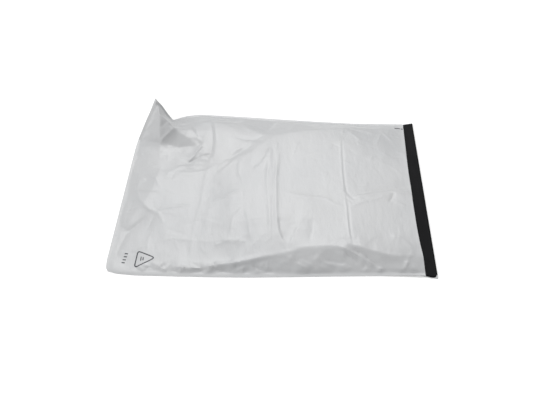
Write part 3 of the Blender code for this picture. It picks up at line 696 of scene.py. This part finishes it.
def nodeMaterial(name):
    made = bpy.data.materials.new(name)
    made.use_nodes = True
    tree = made.node_tree
    return made, tree, tree.nodes["Principled BSDF"]


def addNode(tree, kind, **settings):
    node = tree.nodes.new(kind)
    for name, value in settings.items():
        if name in node.inputs:
            node.inputs[name].default_value = value
        else:
            setattr(node, name, value)
    return node


def noiseNode(tree, coordinate, pattern):
    scale, detail, stretch, turn = pattern
    mapping = addNode(tree, "ShaderNodeMapping")
    mapping.inputs["Scale"].default_value = stretch
    mapping.inputs["Rotation"].default_value = (0, 0, turn)
    tree.links.new(coordinate, mapping.inputs["Vector"])
    node = addNode(tree, "ShaderNodeTexNoise", Scale=scale, Detail=detail)
    tree.links.new(mapping.outputs["Vector"], node.inputs["Vector"])
    return node


# Noise of all finishes: features per metre, detail, stretch, and turn in radians
patterns = {
    "clouds": (9, 3, (1, 1, 1), 0.0),
    "gloss": (60, 4, (1, 0.25, 1), 0.3),
    "crinkle": (120, 5, (1, 0.4, 1), 0.9),
    "grain": (1400, 2, (1, 1, 1), 0.0),
    "folds": (26, 2, (1, 0.45, 1), 0.8),
    "cloudStops": (0.35, 0.7),
    "glossSpread": (-0.06, 0.08),
    "grainShare": 0.12,
    "bumpStrength": 0.5,
}

# Base colour, its darker clouds, roughness, height of the bump in metres, specular level and share of folds
finishes = {
    "whiteFilm": ((0.546, 0.551, 0.557), (0.522, 0.53, 0.539), 0.31, 0.0007, 0.3, 1.2),
    "blackFilm": ((0.008, 0.008, 0.009), (0.005, 0.005, 0.006), 0.5, 0.0006, 0.06, 0.6),
    "linerFilm": ((0.74, 0.75, 0.76), (0.7, 0.71, 0.73), 0.3, 0.0002, 0.4, 0.0),
    "hotMeltGlue": ((0.62, 0.55, 0.36), (0.56, 0.49, 0.3), 0.2, 0.0006, 0.4, 0.0),
    "printInk": ((0.02, 0.022, 0.035), (0.013, 0.014, 0.024), 0.45, 0.0001, 0.4, 0.0),
}


def filmMaterial(name):
    colour, darker, roughness, bumpHeight, specular, foldShare = finishes[name]
    made, tree, shader = nodeMaterial(name)
    coordinate = addNode(tree, "ShaderNodeTexCoord").outputs["Object"]
    clouds = noiseNode(tree, coordinate, patterns["clouds"])
    ramp = addNode(tree, "ShaderNodeValToRGB")
    for stop, place, tone in zip(ramp.color_ramp.elements, patterns["cloudStops"], (darker, colour)):
        stop.position, stop.color = place, (*tone, 1)
    tree.links.new(clouds.outputs["Fac"], ramp.inputs["Fac"])
    tree.links.new(ramp.outputs["Color"], shader.inputs["Base Color"])
    gloss = noiseNode(tree, coordinate, patterns["gloss"])
    rough = addNode(tree, "ShaderNodeMapRange")
    rough.inputs["To Min"].default_value = roughness + patterns["glossSpread"][0]
    rough.inputs["To Max"].default_value = roughness + patterns["glossSpread"][1]
    tree.links.new(gloss.outputs["Fac"], rough.inputs["Value"])
    tree.links.new(rough.outputs["Result"], shader.inputs["Roughness"])
    # crinkles with a little grain, and on film the small ridged folds, all in the bump
    crinkle = noiseNode(tree, coordinate, patterns["crinkle"])
    grain = noiseNode(tree, coordinate, patterns["grain"])
    height = addNode(tree, "ShaderNodeMath", operation="MULTIPLY_ADD")
    height.inputs[1].default_value = patterns["grainShare"]
    tree.links.new(grain.outputs["Fac"], height.inputs[0])
    folds = noiseNode(tree, coordinate, patterns["folds"])
    folds.noise_type = "RIDGED_MULTIFRACTAL"
    folded = addNode(tree, "ShaderNodeMath", operation="MULTIPLY_ADD")
    folded.inputs[1].default_value = foldShare
    tree.links.new(folds.outputs["Fac"], folded.inputs[0])
    tree.links.new(crinkle.outputs["Fac"], folded.inputs[2])
    tree.links.new(folded.outputs["Value"], height.inputs[2])
    bump = addNode(tree, "ShaderNodeBump", Strength=patterns["bumpStrength"], Distance=bumpHeight)
    tree.links.new(height.outputs["Value"], bump.inputs["Height"])
    tree.links.new(bump.outputs["Normal"], shader.inputs["Normal"])
    shader.inputs["Specular IOR Level"].default_value = specular
    return made


whiteFilm, blackFilm = filmMaterial("whiteFilm"), filmMaterial("blackFilm")
linerFilm, glueFinish = filmMaterial("linerFilm"), filmMaterial("hotMeltGlue")

bag = makeFilm()
bag.data.materials.append(whiteFilm)
bag.data.materials.append(blackFilm)
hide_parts("mailer_film")
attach(bag, "root")
print("film made", sum(len(face.vertices) - 2 for face in bag.data.polygons), "triangles")


# Print: plain strokes laid on the film

printMarks = {
    "lift": 0.00007,
    "step": 0.7,  # millimetres
    "leastSteps": 3,
    "rounding": 3,
    "dropFrom": 0.1,
    "dropLength": 1.0,
    # width, and points from the closed end and from the near side, all in millimetres
    "strokes": [
        (1.7, [(54, 29.4), (64.5, 24.6), (66.8, 22.7), (64.7, 20.4), (46.5, 8.4), (43.2, 7), (41.5, 9.5),
               (41.8, 20), (42.1, 31), (43.3, 33.8), (46.2, 32.9), (54.6, 29.1)]),
        (1.4, [(48.4, 24.6), (48.8, 17.6)]),
        (1.4, [(51.6, 23.6), (51.9, 18.4)]),
        (4.6, [(26.1, 30.8), (25.9, 29.0)]),
        (4.6, [(25.5, 25.6), (25.3, 23.8)]),
        (4.6, [(24.9, 20.4), (24.7, 18.6)]),
        (4.6, [(24.3, 15.2), (24.1, 13.4)]),
        (2.1, [(434.2, 312.7), (440.5, 313.6), (443.8, 312.9)]),
        (2.4, [(444.8, 312.4), (448.2, 312.0)]),
    ],
}


def strokeMesh():
    # flat ribbons above the film, three points wide, to be laid on it
    points, faces = [], []
    for width, line in printMarks["strokes"]:
        line = np.array(line, float)
        length = np.linalg.norm(np.diff(line, axis=0), axis=1).sum()
        steps = max(int(length / printMarks["step"]), printMarks["leastSteps"])
        path = rounded(evenlySpaced(line, steps + 1), printMarks["rounding"])
        run = np.gradient(path, axis=0)
        across = np.stack([-run[:, 1], run[:, 0]], axis=1) / np.linalg.norm(run, axis=1, keepdims=True)
        first = len(points)
        for middle, half in zip(path, across * width / 2):
            places = [bagPoint(*(middle + share * half)) for share in (1, 0, -1)]
            points += [(*place, printMarks["dropFrom"]) for place in places]
        for i in range(len(path) - 1):
            low = first + 3 * i
            faces += [(low + 1, low + 4, low + 3, low), (low + 2, low + 5, low + 4, low + 1)]
    mesh = bpy.data.meshes.new("printMarks")
    mesh.from_pydata(points, [], faces)
    return mesh


def layOnTree(finish):
    # drops every point straight down on the surface, then lifts it by a hair
    tree = bpy.data.node_groups.new("layOnSurface", "GeometryNodeTree")
    for name, kind in (("Geometry", "Geometry"), ("Surface", "Object"), ("Lift", "Float")):
        tree.interface.new_socket(name, in_out="INPUT", socket_type="NodeSocket" + kind)
    tree.interface.new_socket("Geometry", in_out="OUTPUT", socket_type="NodeSocketGeometry")
    given, result = tree.nodes.new("NodeGroupInput"), tree.nodes.new("NodeGroupOutput")
    surface = tree.nodes.new("GeometryNodeObjectInfo")
    drop = tree.nodes.new("GeometryNodeRaycast")
    lift = tree.nodes.new("ShaderNodeCombineXYZ")
    raised = tree.nodes.new("ShaderNodeVectorMath")
    place = tree.nodes.new("GeometryNodeSetPosition")
    real = tree.nodes.new("GeometryNodeRealizeInstances")
    paint = tree.nodes.new("GeometryNodeSetMaterial")
    drop.inputs["Ray Direction"].default_value = (0, 0, -1)
    drop.inputs["Ray Length"].default_value = printMarks["dropLength"]
    paint.inputs["Material"].default_value = finish
    link = tree.links.new
    link(given.outputs["Surface"], surface.inputs["Object"])
    link(surface.outputs["Geometry"], drop.inputs["Target Geometry"])
    link(given.outputs["Lift"], lift.inputs["Z"])
    link(drop.outputs["Hit Position"], raised.inputs[0])
    link(lift.outputs["Vector"], raised.inputs[1])
    link(given.outputs["Geometry"], place.inputs["Geometry"])
    link(raised.outputs["Vector"], place.inputs["Position"])
    link(place.outputs["Geometry"], real.inputs["Geometry"])
    link(real.outputs["Geometry"], paint.inputs["Geometry"])
    link(paint.outputs["Geometry"], result.inputs["Geometry"])
    return tree


def makePrint():
    guide = bpy.data.objects.new("printGuide", strokeMesh())
    bpy.context.scene.collection.objects.link(guide)
    layOn = guide.modifiers.new("layOn", "NODES")
    layOn.node_group = layOnTree(printInk)
    items = layOn.node_group.interface.items_tree
    sockets = {item.name: item.identifier for item in items if item.in_out == "INPUT"}
    layOn[sockets["Surface"]], layOn[sockets["Lift"]] = bag, printMarks["lift"]
    evaluated = guide.evaluated_get(bpy.context.evaluated_depsgraph_get())
    mesh = bpy.data.meshes.new_from_object(evaluated)
    bpy.data.objects.remove(guide)
    marks = bpy.data.objects.new("printMarks", mesh)
    mesh.name = "printMarks"
    bpy.context.scene.collection.objects.link(marks)
    return marks


printInk = filmMaterial("printInk")
marks = makePrint()
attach(marks, "root")
print("print laid on", len(marks.data.polygons), "faces")


# Closing strip under the folded flap: glue line and the liner over it

closingStrip = {
    "cell": 0.002,
    "leastCells": 6,
    "linerWave": 0.00004,
    "glueWave": 0.00005,
    "waves": {"length": 0.012, "width": 0.017, "seed": 33},
    "glueEdge": 0.0005,  # how far the glue's long edges wander
    "edgeStep": 0.011,  # length over which they do
    "edgeSides": 3,  # sets the two edges' wandering apart
    "edgeSeed": 31,
    "edgePower": 7,  # keeps the wandering to the edges
    "thinPower": 8,  # and the thinning, at most to the thinnest share
    "thinnest": 0.45,
    "sharpAngle": 45,
}


def makeStrip(name, node, wave, ragged, finish):
    # a thin strip the size of its solid, a little uneven, with edges that wander by ragged
    low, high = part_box(node)
    cell = closingStrip["cell"]
    across = max(int((high.x - low.x) / cell), closingStrip["leastCells"])
    along = int((high.y - low.y) / cell)
    x, y = np.meshgrid(np.linspace(low.x, high.x, across), np.linspace(low.y, high.y, along), indexing="ij")
    edge = np.linspace(-1, 1, across)[:, None]
    places = (y / closingStrip["edgeStep"], edge * closingStrip["edgeSides"])
    wander = 0.5 + 0.5 * gradientNoise(*places, closingStrip["edgeSeed"])
    x = x - ragged * edge ** closingStrip["edgePower"] * wander
    thin = np.maximum(1 - edge ** closingStrip["thinPower"], closingStrip["thinnest"])
    middle, half = (low.z + high.z) / 2, (high.z - low.z) / 2 - wave
    uneven = wave * waves(x, y, closingStrip["waves"])
    shell = ShellBuilder()
    topAt = shell.layer(np.dstack([x, y, middle + half * thin + uneven]))
    lowAt = shell.layer(np.dstack([x, y, middle - half * thin + uneven]))
    shell.quads(topAt, 0)
    shell.quads(lowAt, 0, upward=False)
    for rim, lower in ((topAt[:, 0], lowAt[:, 0]), (topAt[-1], lowAt[-1]),
                       (topAt[::-1, -1], lowAt[::-1, -1]), (topAt[0, ::-1], lowAt[0, ::-1])):
        shell.strip(lower, rim, 0)
    strip = shell.make(name)
    strip.data.materials.append(finish)
    strip.data.shade_smooth()
    strip.data.set_sharp_from_angle(angle=math.radians(closingStrip["sharpAngle"]))
    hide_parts(node)
    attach(strip, "root")
    return strip


glueWave, glueEdge = closingStrip["glueWave"], closingStrip["glueEdge"]
liner = makeStrip("linerStrip", "release_liner", closingStrip["linerWave"], 0.0, linerFilm)
makeStrip("glueLine", "adhesive_strip", glueWave, glueEdge, glueFinish)
print("closing strip made")


# Stage: floor, light and camera

stage = {
    "floorSize": 14.0,
    "floorDrop": 0.0003,  # the floor lies this far under the object
    "floorColour": (0.93, 0.93, 0.93),
    "floorRoughness": 0.9,
    "floorSpecular": 0.1,
    "floorGlow": 0.2,  # only for the camera
    "worldLevel": 0.45,
    "seenLevel": 1.0,  # of the world, only for the camera
    "lamps": [
        {"name": "softKey", "strength": 1.62, "spread": 30, "from": (-0.1, 0.82, 1)},
        {"name": "smallWindow", "strength": 0.07, "spread": 7, "from": (0.12, 1, 0.6)},
        {"name": "softSide", "strength": 1.02, "spread": 45, "from": (-1, -0.4, 0.62)},
    ],
    "cameraPlace": (0.0237, -0.7224, 0.746),
    "cameraPitch": 47.44,
    "cameraYaw": -1.768,
    "lens": 43.32,
    "sensor": 36,
    "nearest": 0.01,
}


def makeFloor():
    floorMesh = bpy.data.meshes.new("floor")
    half = stage["floorSize"] / 2
    corners = [(-half, -half, 0), (half, -half, 0), (half, half, 0), (-half, half, 0)]
    floorMesh.from_pydata(corners, [], [(0, 1, 2, 3)])
    floor = bpy.data.objects.new("floor", floorMesh)
    floor.location.z = solidLow.z - stage["floorDrop"]
    bpy.context.scene.collection.objects.link(floor)
    made, tree, shader = nodeMaterial("paleFloor")
    shader.inputs["Base Color"].default_value = (*stage["floorColour"], 1)
    shader.inputs["Roughness"].default_value = stage["floorRoughness"]
    shader.inputs["Specular IOR Level"].default_value = stage["floorSpecular"]
    light = addNode(tree, "ShaderNodeLightPath")
    glow = addNode(tree, "ShaderNodeMath", operation="MULTIPLY")
    glow.inputs[1].default_value = stage["floorGlow"]
    shader.inputs["Emission Color"].default_value = (1, 1, 1, 1)
    tree.links.new(light.outputs["Is Camera Ray"], glow.inputs[0])
    tree.links.new(glow.outputs["Value"], shader.inputs["Emission Strength"])
    floorMesh.materials.append(made)


def makeLight():
    world = bpy.data.worlds.new("softRoom")
    bpy.context.scene.world = world
    world.use_nodes = True
    back = world.node_tree.nodes["Background"]
    back.inputs["Color"].default_value = (1, 1, 1, 1)
    path = addNode(world.node_tree, "ShaderNodeLightPath")
    level = addNode(world.node_tree, "ShaderNodeMix", data_type="FLOAT")
    # 2 and 3 are the sockets that a mix of two numbers shows
    level.inputs[2].default_value = stage["worldLevel"]
    level.inputs[3].default_value = stage["seenLevel"]
    world.node_tree.links.new(path.outputs["Is Camera Ray"], level.inputs[0])
    world.node_tree.links.new(level.outputs[0], back.inputs["Strength"])

    for lamp in stage["lamps"]:
        light = bpy.data.lights.new(lamp["name"], "SUN")
        light.energy = lamp["strength"]
        light.angle = math.radians(lamp["spread"])
        placed = bpy.data.objects.new(lamp["name"], light)
        placed.location = Vector(lamp["from"])
        placed.rotation_euler = (-placed.location).to_track_quat("-Z", "Y").to_euler()
        bpy.context.scene.collection.objects.link(placed)


def makeCamera():
    lens = bpy.data.cameras.new("photoView")
    lens.lens = stage["lens"]
    lens.sensor_width = stage["sensor"]
    lens.clip_start = stage["nearest"]
    camera = bpy.data.objects.new("photoView", lens)
    pitch, yaw = math.radians(stage["cameraPitch"]), math.radians(stage["cameraYaw"])
    look = Vector((math.sin(yaw) * math.cos(pitch), math.cos(yaw) * math.cos(pitch), -math.sin(pitch)))
    camera.location = stage["cameraPlace"]
    camera.rotation_euler = look.to_track_quat("-Z", "Y").to_euler()
    bpy.context.scene.collection.objects.link(camera)
    bpy.context.scene.camera = camera


makeFloor()
makeLight()
makeCamera()
bpy.context.scene.view_settings.view_transform = "Standard"
print("stage made")
